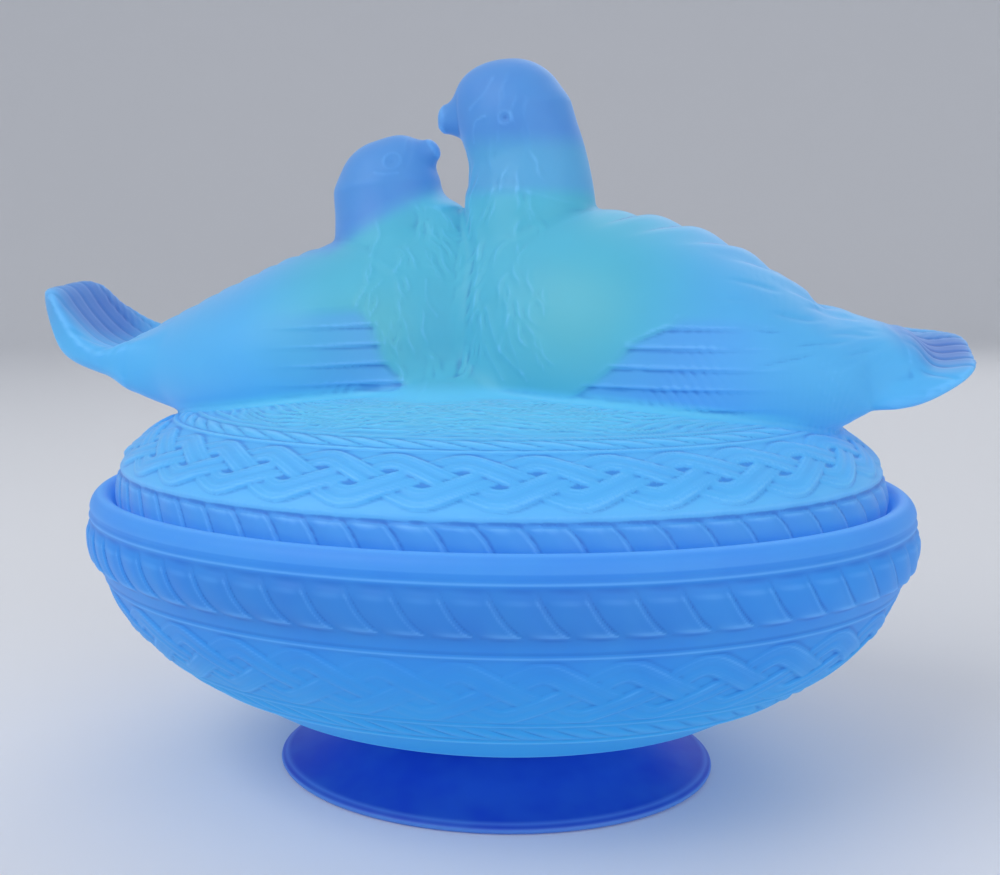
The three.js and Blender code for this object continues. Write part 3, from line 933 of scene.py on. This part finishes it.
def satin_glass(name, paint_colour, sheen):
    """Acid-etched glass that glows a little by itself; raised lines get a painted highlight and grooves
    painted shade.
    """
    material = bpy.data.materials.new(name)
    material.use_nodes = True
    tree = material.node_tree
    shader = tree.nodes["Principled BSDF"]
    brush = Painter(tree)
    colour = paint_colour(brush)
    mottle = brush.ramp(brush.noise(9.0), 0.3, 0.7)
    colour = brush.mix(brush.maths("MULTIPLY", mottle, 0.05), colour, light_of(90, 200, 235))
    # Painted highlight on raised lines and painted shade in grooves, from how proud each point stands.
    crest = brush.paint("crest")
    painted_crest_highlight = brush.ramp(crest, 0.1, 1.0, 0.0, 0.27)
    colour = brush.mix(painted_crest_highlight, colour, light_of(130, 200, 255))
    deep = brush.ramp(crest, -0.1, -1.0, 0.0, 0.6)
    shade = brush.mix(1.0, colour, light_of(120, 160, 215), "MULTIPLY")
    colour = brush.mix(deep, colour, shade)
    tree.links.new(colour, shader.inputs["Base Color"])
    tree.links.new(colour, shader.inputs["Emission Color"])
    settings = {
        "Emission Strength": GLOW, "Roughness": 0.48, "Specular IOR Level": 0.3,
        "Subsurface Weight": 0.3, "Subsurface Radius": (0.5, 0.8, 1.0),
        "Subsurface Scale": 2.2 * MM, "Transmission Weight": 0.1,
        "Sheen Weight": sheen, "Sheen Roughness": 0.4, "Sheen Tint": (0.5, 0.68, 1.0, 1),
    }
    for word, value in settings.items():
        shader.inputs[word].default_value = value
    grain = tree.nodes.new("ShaderNodeBump")
    grain.inputs["Strength"].default_value = 0.06
    grain.inputs["Distance"].default_value = 0.1 * MM
    tree.links.new(brush.noise(0.35, 3.0), grain.inputs["Height"])
    tree.links.new(grain.outputs["Normal"], shader.inputs["Normal"])
    return material


def dish_colour(brush):
    """Deep blue, tealer low down on the bowl, deeper on the lobes of its long sides and on the foot;
    painted shade deepens the foot's rim.
    """
    height = brush.height
    bowl = brush.mix(brush.ramp(height, 18.0, 40.0), light_of(40, 152, 218), light_of(46, 130, 212))
    bowl = brush.mix(brush.ramp(height, 46.0, 48.0), bowl, light_of(48, 128, 212))
    aside = brush.maths("ABSOLUTE", brush.across)
    lobes = brush.maths("MULTIPLY", brush.ramp(height, 37.0, 41.0), brush.ramp(height, 47.5, 46.0))
    lobes = brush.maths("MULTIPLY", lobes, brush.ramp(aside, 58.0, 20.0, 0.0, 0.7))
    bowl = brush.mix(lobes, bowl, light_of(42, 110, 190))
    # Painted shade: the foot's outer rim is a deeper blue than its middle.
    middle = brush.near(0, 0, 4, 24, 46, 1 / OVAL)
    foot = brush.mix(middle, light_of(12, 50, 162), light_of(18, 66, 186))
    return brush.mix(brush.ramp(height, 9.0, 11.5), foot, bowl)


def lid_colour(brush):
    """Pale sky blue; teal where the doves' breasts are thick, lilac blue on heads and tails; a painted
    highlight along the bead under the plait.
    """
    height, across = brush.height, brush.across
    low_band = brush.ramp(height, 54.0, 57.4)
    cover = brush.mix(low_band, light_of(62, 138, 212), light_of(74, 162, 222))
    cover = brush.mix(brush.ramp(height, 62.0, 67.0), cover, light_of(88, 182, 220))
    # Painted highlight: a paler band along the bead between the lobes and the plait.
    painted_bead_highlight = brush.maths("MULTIPLY", brush.ramp(height, 54.3, 54.9), brush.ramp(height, 57.6, 56.0))
    cover = brush.mix(brush.maths("MULTIPLY", painted_bead_highlight, 0.6), cover, light_of(96, 180, 232))
    dove = brush.mix(brush.ramp(height, 68.0, 90.0), light_of(76, 164, 218), light_of(76, 160, 212))
    teal = light_of(74, 166, 192)
    green = light_of(84, 170, 188)
    dove = brush.mix(brush.near(10, 0, 82, 16, 34, 0.5), dove, teal)
    dove = brush.mix(brush.near(-14, 0, 82, 12, 28, 0.5), dove, teal)
    for side in (-20, 20):
        dove = brush.mix(brush.near(17, side, 80, 2, 13), dove, green)
        dove = brush.mix(brush.near(-15, side, 79, 1, 10), dove, green)
    # The collar slants down towards the left dove's back, and its head colour starts right there;
    # the right dove has a paler neck in between.
    collar = brush.maths("MINIMUM", brush.maths("MULTIPLY_ADD", across, 0.6, 106.3), 100.8)
    collar = brush.maths("MAXIMUM", collar, 91.0)
    above = brush.maths("SUBTRACT", height, collar)
    lift = brush.ramp(across, -6.0, -9.0, 0.0, 7.0)
    head = brush.ramp(brush.maths("ADD", above, lift), 6.0, 10.5)
    neck = brush.mix(head, light_of(80, 152, 198), light_of(74, 132, 198))
    dove = brush.mix(brush.ramp(above, -1.6, 1.6), dove, neck)
    lilac = light_of(54, 104, 178)
    dove = brush.mix(brush.near(-76, 3, 82, 5, 14), dove, lilac)
    dove = brush.mix(brush.near(75, 2, 76, 3, 14), dove, lilac)
    dove = brush.mix(brush.maths("MULTIPLY", brush.paint("rows"), 0.45), dove, light_of(80, 136, 226))
    return brush.mix(brush.paint("dove"), cover, dove)


def floor_material():
    material = bpy.data.materials.new("floor_paper")
    material.use_nodes = True
    shader = material.node_tree.nodes["Principled BSDF"]
    shader.inputs["Base Color"].default_value = (0.8, 0.81, 0.84, 1)
    shader.inputs["Roughness"].default_value = 0.9
    shader.inputs["Specular IOR Level"].default_value = 0.1
    return material


# ----------------------------------------
# Stage, light and camera
# ----------------------------------------
def make_floor():
    """A sheet of pale paper, flat under the dish and curving up all round far away."""
    flat_reach, bend, top, sides = 1.3, 0.7, 2.2, 96
    turns = [math.pi / 2 * step / 16 for step in range(17)]
    profile = [(flat_reach + bend * math.sin(turn), bend * (1 - math.cos(turn))) for turn in turns]
    profile.append((flat_reach + bend, top))
    points = [(0, 0, 0)]
    for reach, height in profile:
        for side in range(sides):
            angle = 2 * math.pi * side / sides
            points.append((reach * math.cos(angle), reach * math.sin(angle), height))
    faces = [(0, 1 + side, 1 + (side + 1) % sides) for side in range(sides)]
    for ring in range(len(profile) - 1):
        for side in range(sides):
            low, high = 1 + ring * sides, 1 + (ring + 1) * sides
            after = (side + 1) % sides
            faces.append((low + side, high + side, high + after, low + after))
    floor = smooth_object("floor", points, faces)
    floor.data.materials.append(floor_material())


def add_area_light(name, place, target, size, power):
    data = bpy.data.lights.new(name, "AREA")
    data.size = size
    data.energy = power
    light = bpy.data.objects.new(name, data)
    light.location = place
    light.rotation_euler = (Vector(target) - Vector(place)).to_track_quat("-Z", "Y").to_euler()
    bpy.context.scene.collection.objects.link(light)


def make_lights():
    centre = (AXIS_X, 0, 0.06)
    add_area_light("key", (-0.4, -0.5, 0.6), centre, 0.6, 3.0)
    add_area_light("fill", (0.6, -0.6, 0.35), centre, 0.8, 2.2)
    add_area_light("back", (0.2, 0.8, 0.7), centre, 0.7, 1.6)
    world = bpy.data.worlds.new("studio")
    world.use_nodes = True
    world.node_tree.nodes["Background"].inputs["Color"].default_value = (0.92, 0.95, 1.0, 1)
    world.node_tree.nodes["Background"].inputs["Strength"].default_value = 0.62
    bpy.context.scene.world = world
    bpy.context.scene.view_settings.view_transform = "Standard"


def make_camera():
    """The view: a little over 200 mm away, at the height of the doves' backs, from 11 degrees
    round and looking 8 degrees down."""
    distance, height, aside = 204.1, 88.1, -1.3
    turn, pitch, roll = math.radians(11.02), math.radians(8.19), math.radians(-0.19)
    focal_share = 1.165  # focal length over the sensor's width
    data = bpy.data.cameras.new("camera")
    data.sensor_width = 36
    data.lens = focal_share * data.sensor_width
    data.clip_start = 0.01
    camera = bpy.data.objects.new("camera", data)
    spin = Matrix.Rotation(turn, 4, "Z")
    place = spin @ Vector((-aside, -distance, height))
    camera.location = (place.x * MM + AXIS_X, place.y * MM, place.z * MM)
    look = spin @ Matrix.Rotation(math.pi / 2 - pitch, 4, "X") @ Matrix.Rotation(roll, 4, "Z")
    camera.rotation_euler = look.to_euler()
    bpy.context.scene.collection.objects.link(camera)
    bpy.context.scene.camera = camera


make_camera()
make_lights()
make_floor()

dish = make_dish()
dish.data.materials.append(satin_glass("dish_satin", dish_colour, 0.15))
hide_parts("dish")
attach(dish, "dish")

lid = make_lid()
lid.data.materials.append(satin_glass("lid_satin", lid_colour, 0.7))
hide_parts("lid")
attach(lid, "lid")
